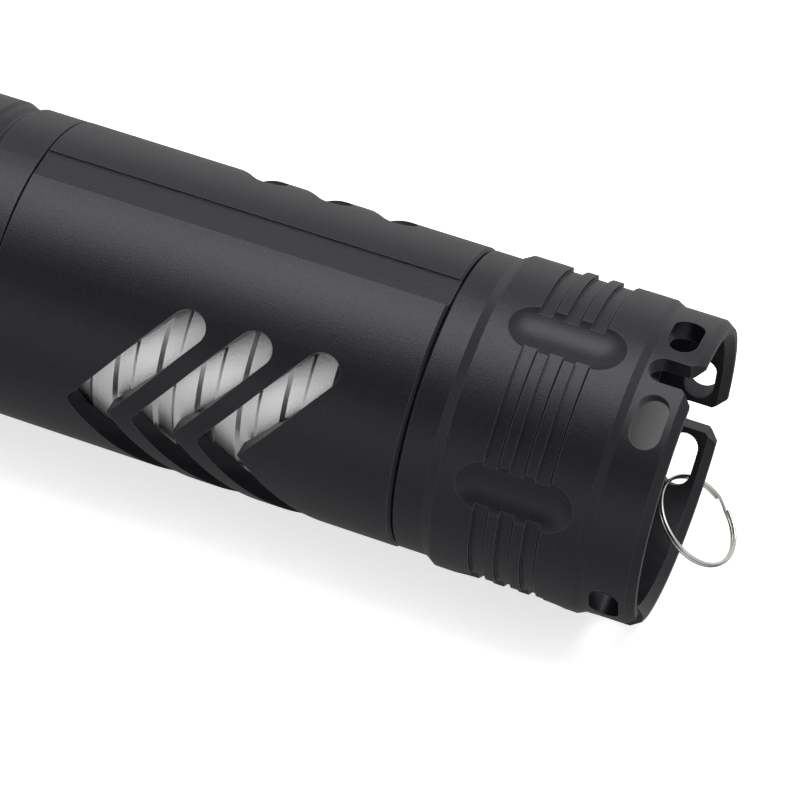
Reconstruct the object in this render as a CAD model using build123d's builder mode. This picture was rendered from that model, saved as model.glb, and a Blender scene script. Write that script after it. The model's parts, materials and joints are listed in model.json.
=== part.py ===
from build123d import *
from math import cos, radians, sin
import os

# A pocket tube light for one 26650 cell. Millimetres.
# The barrel's axis is the X axis. x = 0 is the bezel's front face and +X runs to the tail.
# +Z is up through the middle of the flat band along the sleeve; the light lies on its side.

os.makedirs("parts", exist_ok=True)

# ---- driving dimensions -------------------------------------------------
LENGTH = 134.0  # bezel face to the tail crown's rim
BODY_R = 18.0  # outside of the sleeve
BAND_R = 18.62  # outside of the tail cap's two bands and of the head
SLEEVE_BORE_R = 15.85
TUBE_RIDGE_R = 15.7  # outside of the battery tube's ridges
TUBE_VALLEY_R = 15.25
TUBE_BORE_R = 13.6
THREAD_R = 15.4  # outside of both threads of the battery tube
THREAD_PITCH = 1.0
RUN_GAP = 0.08  # radial clearance of parts that turn or slide in each other
SEAT_GAP = 0.05  # radial clearance of rubber seals and loose stacked parts
CELL_R = 13.25  # 26650 cell in its wrap
CELL_LENGTH = 65.5


def from_tail(distance):
    """The x of a point that lies this far in front of the tail crown's rim."""
    return LENGTH - distance


def around(angle, radius, x):
    """A point on the barrel: angle in degrees from the top towards -Y."""
    return (x, -radius * sin(radians(angle)), radius * cos(radians(angle)))


def radial_plane(angle, radius, x):
    """A plane that touches the barrel at that angle, its x along the barrel, facing outwards."""
    outward = (0, -sin(radians(angle)), cos(radians(angle)))
    return Plane(origin=around(angle, radius, x), x_dir=(1, 0, 0), z_dir=outward)


def across(x):
    """A plane square to the barrel, facing the tail, its x along +Y and its y along +Z."""
    return Plane(origin=(x, 0, 0), x_dir=(0, 1, 0), z_dir=(1, 0, 0))


def finish(solid, name):
    """Label a finished piece and write its file."""
    solid.label = name
    export_step(solid, f"parts/{name}.step")


def write_ring(name, inner, outer, start, end):
    """Write a plain turned ring between two x places."""
    with BuildPart() as ring:
        with BuildSketch(across(start)):
            Circle(outer)
            if inner:
                Circle(inner, mode=Mode.SUBTRACT)
        extrude(amount=end - start)
    finish(ring.part, name)


# ---- tail cap -----------------------------------------------------------
CAP_FRONT = from_tail(28.9)
CROWN_R = 18.14
CROWN_BORE_R = 15.85
CROWN_DEPTH = 8.2
CROWN_STEP = from_tail(6.0)  # where the crown's wall meets the rear band's chamfer
LIP_R = 10.0  # hole that the switch boot shows through
LIP_FRONT = from_tail(9.7)
BAY_R = 14.0
BAY_FRONT = from_tail(20.8)
COLLAR_R = 17.84
COLLAR_END = from_tail(25.3)
GRIP_FLOOR_R = 18.13
GRIP_LAST = from_tail(11.5)
GRIP_PITCH = 3.03
GRIP_WIDTH = 1.8
GRIP_SLOPE = 0.3
GRIP_COUNT = 3
FLUTE_COUNT = 6
FLUTE_ANGLE = 5.6
FLUTE_X = from_tail(15.2)
FLUTE_LENGTH = 13.6
FLUTE_WIDTH = 6.0
FLUTE_DEPTH = 1.2
SLOT_ANGLES = (5.7, -114.3, 125.7)
SLOT_WIDTH = 3.35
SLOT_END = from_tail(5.7)
SLOT_CHAMFER_LENGTH = 1.4
SLOT_CHAMFER_SIDE = 1.2
HOLE_SPREAD = 20.2  # each slot has a lanyard hole this far round on either side
HOLE_X = from_tail(3.48)
HOLE_WIDTH = 3.55
HOLE_LENGTH = 6.3
CAP_CORNER = 0.3
BAND_BEVEL = 1.3
CROWN_BEVEL = 1.0
CROWN_BEVEL_DROP = 0.64
BORE_BEVEL = 0.95
CUT_CLEAR = 1.0  # how far a cut starts outside the metal

# the flutes' ball radius and half the cutter's stroke give their depth, width and length
flute_side = FLUTE_DEPTH - BAND_R + (BAND_R**2 - (FLUTE_WIDTH / 2) ** 2) ** 0.5
FLUTE_BALL_R = ((FLUTE_WIDTH / 2) ** 2 + flute_side**2) / (2 * flute_side)
flute_end = (FLUTE_BALL_R**2 - (FLUTE_BALL_R - FLUTE_DEPTH) ** 2) ** 0.5
FLUTE_STROKE = FLUTE_LENGTH / 2 - flute_end

grip_points = []
for rank in reversed(range(GRIP_COUNT)):
    groove_end = GRIP_LAST - rank * GRIP_PITCH
    groove_start = groove_end - GRIP_WIDTH
    grip_points += [
        (groove_start, BAND_R),
        (groove_start, GRIP_FLOOR_R),
        (groove_end - GRIP_SLOPE, GRIP_FLOOR_R),
        (groove_end, BAND_R),
    ]

with BuildPart() as tail_cap:
    with BuildSketch(Plane.XZ):
        with BuildLine():
            Polyline(
                (CAP_FRONT, THREAD_R + RUN_GAP),
                (CAP_FRONT, COLLAR_R - CAP_CORNER),
                (CAP_FRONT + CAP_CORNER, COLLAR_R),
                (COLLAR_END, COLLAR_R),
                (COLLAR_END + BAND_BEVEL, BAND_R),
                *grip_points,
                (CROWN_STEP - CROWN_BEVEL, BAND_R),
                (CROWN_STEP, CROWN_R),
                (LENGTH - CROWN_BEVEL, CROWN_R),
                (LENGTH, CROWN_R - CROWN_BEVEL_DROP),
                (LENGTH, CROWN_BORE_R + BORE_BEVEL),
                (LENGTH - BORE_BEVEL, CROWN_BORE_R),
                (LENGTH - CROWN_DEPTH, CROWN_BORE_R),
                (LENGTH - CROWN_DEPTH, LIP_R),
                (LIP_FRONT, LIP_R),
                (LIP_FRONT, BAY_R),
                (BAY_FRONT, BAY_R),
                (BAY_FRONT, THREAD_R + RUN_GAP),
                close=True,
            )
        make_face()
    revolve(axis=Axis.X)
    # six scooped finger flutes, as a ball-nosed cutter run along the barrel leaves them
    for rank in range(FLUTE_COUNT):
        flute_angle = FLUTE_ANGLE + rank * 360 / FLUTE_COUNT
        cutter_line = BAND_R - FLUTE_DEPTH + FLUTE_BALL_R
        start = around(flute_angle, cutter_line, FLUTE_X - FLUTE_STROKE)
        flute_plane = Plane(origin=start, z_dir=(1, 0, 0))
        with BuildSketch(flute_plane):
            Circle(FLUTE_BALL_R)
        extrude(amount=2 * FLUTE_STROKE, mode=Mode.SUBTRACT)
        for end in (FLUTE_X - FLUTE_STROKE, FLUTE_X + FLUTE_STROKE):
            with Locations(around(flute_angle, cutter_line, end)):
                Sphere(FLUTE_BALL_R, mode=Mode.SUBTRACT)
    # three slots, open to the rear, each between two lanyard holes
    for slot_angle in SLOT_ANGLES:
        reach = LENGTH - SLOT_END
        mouth = SLOT_WIDTH / 2 + SLOT_CHAMFER_SIDE
        with BuildSketch(radial_plane(slot_angle, BAY_R, SLOT_END)):
            with Locations((SLOT_WIDTH / 2, 0)):
                Circle(SLOT_WIDTH / 2)
            with BuildLine():
                Polyline(
                    (SLOT_WIDTH / 2, -SLOT_WIDTH / 2),
                    (reach - SLOT_CHAMFER_LENGTH, -SLOT_WIDTH / 2),
                    (reach, -mouth),
                    (reach + CUT_CLEAR, -mouth),
                    (reach + CUT_CLEAR, mouth),
                    (reach, mouth),
                    (reach - SLOT_CHAMFER_LENGTH, SLOT_WIDTH / 2),
                    (SLOT_WIDTH / 2, SLOT_WIDTH / 2),
                    close=True,
                )
            make_face()
        extrude(amount=BAND_R - BAY_R + CUT_CLEAR, mode=Mode.SUBTRACT)
        for side in (-1, 1):
            hole_plane = radial_plane(slot_angle + side * HOLE_SPREAD, BAY_R, HOLE_X)
            with BuildSketch(hole_plane):
                SlotOverall(HOLE_LENGTH, HOLE_WIDTH, rotation=90)
            extrude(amount=BAND_R - BAY_R + CUT_CLEAR, mode=Mode.SUBTRACT)
finish(tail_cap.part, "tail_cap")

# ---- outer sleeve -------------------------------------------------------
SLEEVE_FRONT = from_tail(79.75)
SLEEVE_END = CAP_FRONT - 0.1
SLEEVE_CHAMFER = 0.35
SLEEVE_FRONT_CHAMFER = 0.15
FLAT_DEPTH = 0.36
FLAT_HALF_WIDTH = 2.1
WINDOW_ANGLES = (87.7, -82.6)  # the chevrons' middles on the two sides, from the top
WINDOW_X = tuple(from_tail(distance) for distance in (66.2, 58.15, 50.1))
WINDOW_WIDTH = 4.2
WINDOW_TIP_R = 1.3
ARM_ANGLE = 43.5  # from a chevron's middle to the centre of its rounded end
ARM_RISE = 10.3  # how far along the barrel that centre lies behind the tip
WRAP_R = 19.0

# one chevron, drawn flat and wrapped on a cylinder just outside the sleeve
arm_reach = radians(ARM_ANGLE) * WRAP_R
with BuildSketch() as chevron:
    with BuildLine():
        Polyline((ARM_RISE, arm_reach), (0, 0), (ARM_RISE, -arm_reach))
    trace(line_width=WINDOW_WIDTH)
    with Locations((ARM_RISE, arm_reach), (ARM_RISE, -arm_reach)):
        Circle(WINDOW_WIDTH / 2)
    fillet(chevron.vertices().sort_by(Axis.X)[0], WINDOW_TIP_R)
wrap_cylinder = Cylinder(WRAP_R, LENGTH, rotation=(0, 90, 0), mode=Mode.PRIVATE)
wrap_face = wrap_cylinder.faces().filter_by(GeomType.CYLINDER)[0]
wrap_start = Plane(origin=(0, -WRAP_R, 0), x_dir=(1, 0, 0), z_dir=(0, -1, 0)).location
wrapped = wrap_face.wrap(chevron.sketch.faces()[0], wrap_start)
cutter = Solid.thicken(wrapped, -(WRAP_R - TUBE_BORE_R))

with BuildPart() as outer_sleeve:
    with BuildSketch(Plane.XZ):
        with BuildLine():
            Polyline(
                (SLEEVE_FRONT, SLEEVE_BORE_R),
                (SLEEVE_FRONT, BODY_R - SLEEVE_FRONT_CHAMFER),
                (SLEEVE_FRONT + SLEEVE_FRONT_CHAMFER, BODY_R),
                (SLEEVE_END - SLEEVE_CHAMFER, BODY_R),
                (SLEEVE_END, BODY_R - SLEEVE_CHAMFER),
                (SLEEVE_END, SLEEVE_BORE_R),
                close=True,
            )
        make_face()
    revolve(axis=Axis.X)
    sleeve_middle = (SLEEVE_FRONT + SLEEVE_END) / 2
    with BuildSketch(Plane(origin=(sleeve_middle, 0, BODY_R - FLAT_DEPTH))):
        Rectangle(SLEEVE_END - SLEEVE_FRONT + CUT_CLEAR, 2 * FLAT_HALF_WIDTH)
    extrude(amount=CUT_CLEAR, mode=Mode.SUBTRACT)
    for window_x in WINDOW_X:
        for window_angle in WINDOW_ANGLES:
            placed = Pos(window_x, 0, 0) * Rot(window_angle - 90, 0, 0) * cutter
            add(placed, mode=Mode.SUBTRACT)
finish(outer_sleeve.part, "outer_sleeve")

# ---- battery tube -------------------------------------------------------
TUBE_FRONT = from_tail(92.2)
TUBE_END = BAY_FRONT - 0.1
RIDGE_PITCH = 5.06
RIDGE_FIRST = from_tail(76.6)
RIDGE_COUNT = 9
RIDGE_WIDTH = 2.5
RIDGE_SLOPE = 0.45
O_RING_SECTION = 1.2
O_RING_FLOOR_R = 14.45
REAR_O_RING = from_tail(27.2)
FRONT_O_RING = SLEEVE_FRONT - 1.9
THREAD_DEPTH = 0.45
REAR_THREAD_START = from_tail(25.4)
FRONT_THREAD_END = SLEEVE_FRONT - 3.2
THREAD_TURNS_REAR = 4
THREAD_TURNS_FRONT = 7
THREAD_CREST = 0.25
THREAD_FLANK = 0.35
THREAD_RUN_OUT = 0.4

profile = [(TUBE_FRONT, THREAD_R - THREAD_DEPTH)]
for turn in range(THREAD_TURNS_FRONT):
    crest = TUBE_FRONT + (turn + 0.5) * THREAD_PITCH
    profile += [(crest, THREAD_R), (crest + THREAD_CREST, THREAD_R)]
    profile += [(crest + THREAD_CREST + THREAD_FLANK, THREAD_R - THREAD_DEPTH)]
profile += [
    (FRONT_THREAD_END, THREAD_R - THREAD_DEPTH),
    (FRONT_THREAD_END + THREAD_RUN_OUT, THREAD_R),
    (FRONT_O_RING - O_RING_SECTION / 2, THREAD_R),
    (FRONT_O_RING - O_RING_SECTION / 2, O_RING_FLOOR_R),
    (FRONT_O_RING + O_RING_SECTION / 2, O_RING_FLOOR_R),
    (FRONT_O_RING + O_RING_SECTION / 2, THREAD_R),
    (SLEEVE_FRONT, THREAD_R),
    (SLEEVE_FRONT, TUBE_RIDGE_R),
    (RIDGE_FIRST - 2 * RIDGE_SLOPE, TUBE_RIDGE_R),
]
for rank in range(RIDGE_COUNT):
    ridge = RIDGE_FIRST + rank * RIDGE_PITCH
    profile += [
        (ridge - RIDGE_SLOPE, TUBE_VALLEY_R),
        (ridge, TUBE_RIDGE_R),
        (ridge + RIDGE_WIDTH, TUBE_RIDGE_R),
        (ridge + RIDGE_WIDTH + RIDGE_SLOPE, TUBE_VALLEY_R),
    ]
profile += [
    (RIDGE_FIRST + RIDGE_COUNT * RIDGE_PITCH - RIDGE_SLOPE, TUBE_VALLEY_R),
    (RIDGE_FIRST + RIDGE_COUNT * RIDGE_PITCH, TUBE_RIDGE_R),
    (SLEEVE_END, TUBE_RIDGE_R),
    (SLEEVE_END, THREAD_R),
    (REAR_O_RING - O_RING_SECTION / 2, THREAD_R),
    (REAR_O_RING - O_RING_SECTION / 2, O_RING_FLOOR_R),
    (REAR_O_RING + O_RING_SECTION / 2, O_RING_FLOOR_R),
    (REAR_O_RING + O_RING_SECTION / 2, THREAD_R),
    (REAR_THREAD_START - THREAD_RUN_OUT, THREAD_R),
]
for turn in range(THREAD_TURNS_REAR):
    crest = REAR_THREAD_START + (turn + 0.5) * THREAD_PITCH
    profile += [(crest - THREAD_FLANK, THREAD_R - THREAD_DEPTH)]
    profile += [(crest, THREAD_R), (crest + THREAD_CREST, THREAD_R)]
profile += [
    (TUBE_END, THREAD_R - THREAD_DEPTH),
    (TUBE_END, TUBE_BORE_R),
    (TUBE_FRONT, TUBE_BORE_R),
]
with BuildPart() as battery_tube:
    with BuildSketch(Plane.XZ):
        with BuildLine():
            Polyline(*profile, close=True)
        make_face()
    revolve(axis=Axis.X)
finish(battery_tube.part, "battery_tube")

for name, place in (("front_o_ring", FRONT_O_RING), ("rear_o_ring", REAR_O_RING)):
    half_width = O_RING_SECTION / 2 - 2 * SEAT_GAP
    half_height = half_width - SEAT_GAP  # squeezed a little by the bore
    with BuildPart() as seal:
        with BuildSketch(Plane.XZ):
            with Locations((place, O_RING_FLOOR_R + SEAT_GAP + half_width)):
                Ellipse(half_width, half_height)
        revolve(axis=Axis.X)
    finish(seal.part, name)

# ---- 26650 cell ---------------------------------------------------------
CELL_BASE = from_tail(27.4)
WRAP_WALL = 0.12
BUTTON_R = 3.6
BUTTON_HEIGHT = 1.4
CELL_TOP = CELL_BASE - CELL_LENGTH + BUTTON_HEIGHT
CRIMP_GROOVE = CELL_TOP + 3.0
CRIMP_DEPTH = 0.6
CRIMP_HALF_WIDTH = 0.7
CRIMP_HALF_FLOOR = 0.3
CAN_CORNER = 0.6
WRAP_SLACK = 0.03
CAN_R = CELL_R - WRAP_WALL - WRAP_SLACK
STACK_GAP = 0.02  # between parts that touch end to end
SMALL_CHAMFER = 0.3
INSULATOR_THICK = 0.3

with BuildPart() as cell_can:
    with BuildSketch(Plane.XZ):
        with BuildLine():
            Polyline(
                (CELL_TOP, 0),
                (CELL_TOP, CAN_R - CAN_CORNER),
                (CELL_TOP + CAN_CORNER, CAN_R),
                (CRIMP_GROOVE - CRIMP_HALF_WIDTH, CAN_R),
                (CRIMP_GROOVE - CRIMP_HALF_FLOOR, CAN_R - CRIMP_DEPTH),
                (CRIMP_GROOVE + CRIMP_HALF_FLOOR, CAN_R - CRIMP_DEPTH),
                (CRIMP_GROOVE + CRIMP_HALF_WIDTH, CAN_R),
                (CELL_BASE - CAN_CORNER, CAN_R),
                (CELL_BASE, CAN_R - CAN_CORNER),
                (CELL_BASE, 0),
                close=True,
            )
        make_face()
    revolve(axis=Axis.X)
finish(cell_can.part, "cell_can")

with BuildPart() as cell_button:
    with BuildSketch(across(CELL_TOP - STACK_GAP)):
        Circle(BUTTON_R)
    extrude(amount=-(BUTTON_HEIGHT - STACK_GAP))
    chamfer(cell_button.faces().sort_by(Axis.X)[0].edges(), SMALL_CHAMFER)
finish(cell_button.part, "cell_button")

insulator_end = CELL_TOP - STACK_GAP
write_ring(
    "cell_insulator",
    BUTTON_R + INSULATOR_THICK,
    CAN_R - 1.5 * CAN_CORNER,
    insulator_end - INSULATOR_THICK,
    insulator_end,
)
wrap_inner = CAN_R + WRAP_SLACK
wrap_inset = 0.8  # from each end of the can, clear of its rounded corners
write_ring("cell_wrap", wrap_inner, CELL_R, CELL_TOP + wrap_inset, CELL_BASE - wrap_inset)

# ---- tail switch --------------------------------------------------------
BOOT_DOME_R = 9.6
BOOT_FLANGE_R = 12.8
BOOT_FLANGE = 1.1
BOOT_TOP = from_tail(4.0)
BOOT_WALL = 1.1
BOOT_ROUND = 3.0
WASHER_BORE_R = 10.5
SWITCH_FRONT = from_tail(17.6)
SWITCH_REAR = from_tail(12.9)
PLUNGER_R = 3.2
BUTTON_TRAVEL = 1.6
PLUNGER_DEPTH = 2.6  # how far the plunger reaches into the switch
PLUNGER_CHAMFER = 0.5
SWITCH_SIDE = 15.0
SWITCH_CORNER_R = 1.5
BOARD_R = 13.7
BOARD_THICK = 1.2
RING_THICK = 2.0
RING_WALL = 3.2
SPANNER_HOLE_R = 0.75
SPANNER_HOLE_DEPTH = 1.3
SPANNER_HOLE_INSET = 2.4

boot_base = LIP_FRONT - BOOT_FLANGE
with BuildPart() as switch_boot:
    with BuildSketch(Plane.XZ):
        with BuildLine():
            Polyline(
                (boot_base, BOOT_DOME_R - BOOT_WALL),
                (boot_base, BOOT_FLANGE_R),
                (LIP_FRONT - SEAT_GAP, BOOT_FLANGE_R),
                (LIP_FRONT - SEAT_GAP, BOOT_DOME_R),
                (BOOT_TOP - BOOT_ROUND, BOOT_DOME_R),
            )
            TangentArc(
                (BOOT_TOP - BOOT_ROUND, BOOT_DOME_R),
                (BOOT_TOP, BOOT_DOME_R - BOOT_ROUND),
                tangent=(1, 0),
            )
            Polyline(
                (BOOT_TOP, BOOT_DOME_R - BOOT_ROUND),
                (BOOT_TOP, 0),
                (BOOT_TOP - BOOT_WALL, 0),
                (BOOT_TOP - BOOT_WALL, BOOT_DOME_R - BOOT_ROUND),
            )
            Polyline(
                (BOOT_TOP - BOOT_WALL, BOOT_DOME_R - BOOT_ROUND),
                (BOOT_TOP - BOOT_ROUND, BOOT_DOME_R - BOOT_WALL),
                (boot_base, BOOT_DOME_R - BOOT_WALL),
            )
        make_face()
    revolve(axis=Axis.X)
finish(switch_boot.part, "switch_boot")

plunger_root = SWITCH_REAR - PLUNGER_DEPTH
plunger_tip = BOOT_TOP - BOOT_WALL - 2 * SEAT_GAP
with BuildPart() as switch_plunger:
    with BuildSketch(across(plunger_root)):
        Circle(PLUNGER_R)
    extrude(amount=plunger_tip - plunger_root)
    chamfer(switch_plunger.faces().sort_by(Axis.X)[-1].edges(), PLUNGER_CHAMFER)
finish(switch_plunger.part, "switch_plunger")

with BuildPart() as switch_body:
    with BuildSketch(across(SWITCH_FRONT)):
        RectangleRounded(SWITCH_SIDE, SWITCH_SIDE, SWITCH_CORNER_R)
    extrude(amount=SWITCH_REAR - SWITCH_FRONT)
    bore_floor = plunger_root - BUTTON_TRAVEL - 0.3  # a little deeper than the plunger goes
    with BuildSketch(across(bore_floor)):
        Circle(PLUNGER_R + RUN_GAP)
    extrude(amount=SWITCH_REAR - bore_floor, mode=Mode.SUBTRACT)
finish(switch_body.part, "switch_body")

washer_start, washer_end = SWITCH_FRONT + SEAT_GAP, boot_base - SEAT_GAP
write_ring("boot_washer", WASHER_BORE_R, BOARD_R - 2 * SEAT_GAP, washer_start, washer_end)
board_front = SWITCH_FRONT - BOARD_THICK
write_ring("switch_board", 0, BOARD_R, board_front, SWITCH_FRONT)

with BuildPart() as switch_ring:
    ring_front = board_front - RING_THICK
    with BuildSketch(across(ring_front)):
        Circle(BAY_R - SEAT_GAP)
        Circle(BAY_R - RING_WALL, mode=Mode.SUBTRACT)
    extrude(amount=RING_THICK - STACK_GAP)
    with BuildSketch(across(ring_front)):
        with PolarLocations(BAY_R - SPANNER_HOLE_INSET, 2):
            Circle(SPANNER_HOLE_R)
    extrude(amount=SPANNER_HOLE_DEPTH, mode=Mode.SUBTRACT)
finish(switch_ring.part, "switch_retaining_ring")

# ---- tail contact spring ------------------------------------------------
SPRING_WIRE_R = 0.4
SPRING_R = 6.0
SPRING_TURNS = 4

spring_start = board_front - SPRING_WIRE_R - STACK_GAP
spring_height = spring_start - CELL_BASE - SPRING_WIRE_R - STACK_GAP
with BuildPart() as tail_spring:
    with BuildLine() as coil_path:
        Helix(
            pitch=spring_height / SPRING_TURNS,
            height=spring_height,
            radius=SPRING_R,
            center=(spring_start, 0, 0),
            direction=(-1, 0, 0),
        )
    with BuildSketch(coil_path.line ^ 0):
        Circle(SPRING_WIRE_R)
    sweep()
finish(tail_spring.part, "tail_spring")

# ---- head ---------------------------------------------------------------
HEAD_END = SLEEVE_FRONT - 0.1
BEZEL_END = 6.0
JOINT_GAP = 0.1  # lengthways, between parts that screw together
RIM_CHAMFER = 0.3
BEZEL_CHAMFER = 0.6
BEZEL_SKIRT_END = 11.0
BEZEL_SKIRT_R = 17.0
GLASS_R = 15.95
GLASS_SEAT_R = 16.05
GLASS_FRONT = 2.9
GLASS_THICK = 2.2
GASKET_LEDGE = 0.9
MOUTH_R = 15.1
MOUTH_BEVEL = 1.0
MOUTH_BEVEL_LENGTH = 1.2
HEX_START = 13.0
HEX_END = 27.0
HEX_FLAT_R = 19.42
HEX_CORNER_R = 21.0
HEX_BEVEL_OUT = 1.4
HEX_BEVEL_IN = 0.6
FIN_END = 37.2
FIN_FIRST = 29.6
FIN_PITCH = 2.7
FIN_WIDTH = 1.5
FIN_DEPTH = 1.7
FIN_COUNT = 3
NECK_R = 17.97
NECK_COLLAR_R = 18.1
NECK_BEVEL = 1.0
NECK_STEP = from_tail(87.5)
NECK_GROOVE = from_tail(86.1)
NECK_GROOVE_R = 17.35
NECK_GROOVE_SLOPE = 1.1
NECK_GROOVE_FLOOR = 0.1
SHELF_FRONT = 26.0
SHELF_REAR = 30.0
DRIVER_BAY_R = 14.0
WIRE_HOLE_R = 1.3
WIRE_HOLE_PLACE = 9.6  # wires and screws sit on this radius
SCREW_R = 1.0
SCREW_HEAD_R = 1.9
SCREW_HEAD = 1.2
SCREW_LENGTH = 4.4
SCREW_HOLE_DEPTH = 3.2
SCREW_CROSS_LENGTH = 2.2
SCREW_CROSS_WIDTH = 0.5
SCREW_CROSS_DEPTH = 0.7

fin_points = []
for rank in range(FIN_COUNT):
    fin = FIN_FIRST + rank * FIN_PITCH
    fin_points += [
        (fin, BAND_R),
        (fin, BAND_R - FIN_DEPTH),
        (fin + FIN_WIDTH, BAND_R - FIN_DEPTH),
        (fin + FIN_WIDTH, BAND_R),
    ]

head_front = BEZEL_END + JOINT_GAP
with BuildPart() as head_housing:
    with BuildSketch(Plane.XZ):
        with BuildLine():
            Polyline(
                (head_front, BEZEL_SKIRT_R + RUN_GAP),
                (head_front, BAND_R - RIM_CHAMFER),
                (head_front + RIM_CHAMFER, BAND_R),
                (HEX_START - HEX_BEVEL_OUT, BAND_R),
                (HEX_START + HEX_BEVEL_IN, HEX_CORNER_R),
                (HEX_END - HEX_BEVEL_IN, HEX_CORNER_R),
                (HEX_END + HEX_BEVEL_OUT, BAND_R),
                *fin_points,
                (FIN_END, BAND_R),
                (FIN_END + NECK_BEVEL, NECK_COLLAR_R),
                (NECK_STEP - NECK_BEVEL / 2, NECK_COLLAR_R),
                (NECK_STEP, NECK_R - 0.14),
                (NECK_STEP + 0.7, NECK_R - 0.3),
                (NECK_GROOVE - NECK_GROOVE_FLOOR, NECK_GROOVE_R),
                (NECK_GROOVE + NECK_GROOVE_FLOOR, NECK_GROOVE_R),
                (NECK_GROOVE + NECK_GROOVE_SLOPE, NECK_R),
                (HEAD_END - JOINT_GAP, NECK_R),
                (HEAD_END, NECK_R - JOINT_GAP),
                (HEAD_END, THREAD_R + RUN_GAP),
                (TUBE_FRONT - JOINT_GAP, THREAD_R + RUN_GAP),
                (TUBE_FRONT - JOINT_GAP, DRIVER_BAY_R),
                (SHELF_REAR, DRIVER_BAY_R),
                (SHELF_REAR, 0),
                (SHELF_FRONT, 0),
                (SHELF_FRONT, GLASS_SEAT_R),
                (BEZEL_SKIRT_END + JOINT_GAP, GLASS_SEAT_R),
                (BEZEL_SKIRT_END + JOINT_GAP, BEZEL_SKIRT_R + RUN_GAP),
                close=True,
            )
        make_face()
    revolve(axis=Axis.X)
    # the anti-roll hexagon: six flats, one of them facing down
    with BuildSketch(across(HEX_START - HEX_BEVEL_OUT)):
        Circle(HEX_CORNER_R + CUT_CLEAR)
        RegularPolygon(HEX_FLAT_R, 6, major_radius=False, mode=Mode.SUBTRACT)
    extrude(amount=HEX_END - HEX_START + 2 * HEX_BEVEL_OUT, mode=Mode.SUBTRACT)
    with BuildSketch(across(SHELF_FRONT)):
        with PolarLocations(WIRE_HOLE_PLACE, 2):
            Circle(WIRE_HOLE_R)
    extrude(amount=SHELF_REAR - SHELF_FRONT, mode=Mode.SUBTRACT)
    with BuildSketch(across(SHELF_FRONT)):
        with PolarLocations(WIRE_HOLE_PLACE, 2, start_angle=90):
            Circle(SCREW_R)
    extrude(amount=SCREW_HOLE_DEPTH, mode=Mode.SUBTRACT)
finish(head_housing.part, "head_housing")

with BuildPart() as bezel:
    with BuildSketch(Plane.XZ):
        with BuildLine():
            Polyline(
                (0, MOUTH_R + MOUTH_BEVEL),
                (0, BAND_R - BEZEL_CHAMFER),
                (BEZEL_CHAMFER, BAND_R),
                (BEZEL_END - RIM_CHAMFER, BAND_R),
                (BEZEL_END, BAND_R - RIM_CHAMFER),
                (BEZEL_END, BEZEL_SKIRT_R),
                (BEZEL_SKIRT_END, BEZEL_SKIRT_R),
                (BEZEL_SKIRT_END, GLASS_SEAT_R),
                (GLASS_FRONT - GASKET_LEDGE, GLASS_SEAT_R),
                (GLASS_FRONT - GASKET_LEDGE, MOUTH_R),
                (MOUTH_BEVEL_LENGTH, MOUTH_R),
                close=True,
            )
        make_face()
    revolve(axis=Axis.X)
finish(bezel.part, "bezel")

gasket_start = GLASS_FRONT - GASKET_LEDGE + STACK_GAP
write_ring("lens_gasket", MOUTH_R + SEAT_GAP, GLASS_R, gasket_start, GLASS_FRONT - STACK_GAP)
glass_rear = GLASS_FRONT + GLASS_THICK
write_ring("lens", 0, GLASS_R, GLASS_FRONT, glass_rear)

LED_BOARD_R = 13.4
LED_BOARD_THICK = 1.6
LED_RING_THICK = 0.9
LED_RING_GAP = 0.15
LEAD_HOLE_GAP = 0.15
SCREW_GAP = 0.1
LEAD_STAND = 0.5  # how far a lead stands out of the LED board
LED_SIDE = 5.0
LED_BASE = 0.7
DOME_R = 2.1
LEAD_R = 0.7
REFLECTOR_HOLE_R = 3.6
FOCUS = 3.2  # focal length of the reflector's parabola
REFLECTOR_RIM = 0.4  # flat lip before the parabola starts
REFLECTOR_RIM_REAR = 2.4
REFLECTOR_RIM_SLOPE = 0.8
REFLECTOR_FOOT_R = 6.0
REFLECTOR_FOOT_BEVEL = 2.0
REFLECTOR_NECK_R = 8.6
REFLECTOR_WALL = 0.2
CENTRING_RING_R = 5.8
EMITTER_CORNER_R = 0.3
led_board_front = SHELF_FRONT - LED_BOARD_THICK
led_face = led_board_front - 0.8


def parabola_r(x, vertex):
    """The reflector's inside radius at x, for a parabola that opens to the front."""
    return 2 * (FOCUS * (vertex - x)) ** 0.5


reflector_vertex = led_face + FOCUS * 0.2
reflector_front = glass_rear + SEAT_GAP
mouth_x = reflector_front + REFLECTOR_RIM
mouth_r = parabola_r(mouth_x, reflector_vertex)
reflector_base = led_board_front - LED_RING_THICK - SEAT_GAP
hole_x = reflector_vertex - REFLECTOR_HOLE_R**2 / (4 * FOCUS)
rim_rear = reflector_front + REFLECTOR_RIM_REAR
REFLECTOR_STEPS = 9
with BuildPart() as reflector:
    with BuildSketch(Plane.XZ):
        curve = []
        for step in range(REFLECTOR_STEPS + 1):
            share = step / REFLECTOR_STEPS
            x = mouth_x + (hole_x - mouth_x) * share
            curve.append((x, parabola_r(x, reflector_vertex)))
        with BuildLine():
            Spline(*curve)
            Polyline(
                curve[-1],
                (reflector_base, REFLECTOR_HOLE_R),
                (reflector_base, REFLECTOR_FOOT_R),
                (reflector_base - REFLECTOR_FOOT_BEVEL, REFLECTOR_NECK_R),
                (rim_rear + REFLECTOR_RIM_SLOPE, mouth_r + REFLECTOR_WALL),
                (rim_rear, GLASS_R),
                (reflector_front, GLASS_R),
                (reflector_front, mouth_r),
                curve[0],
            )
        make_face()
    revolve(axis=Axis.X)
finish(reflector.part, "reflector")

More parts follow.
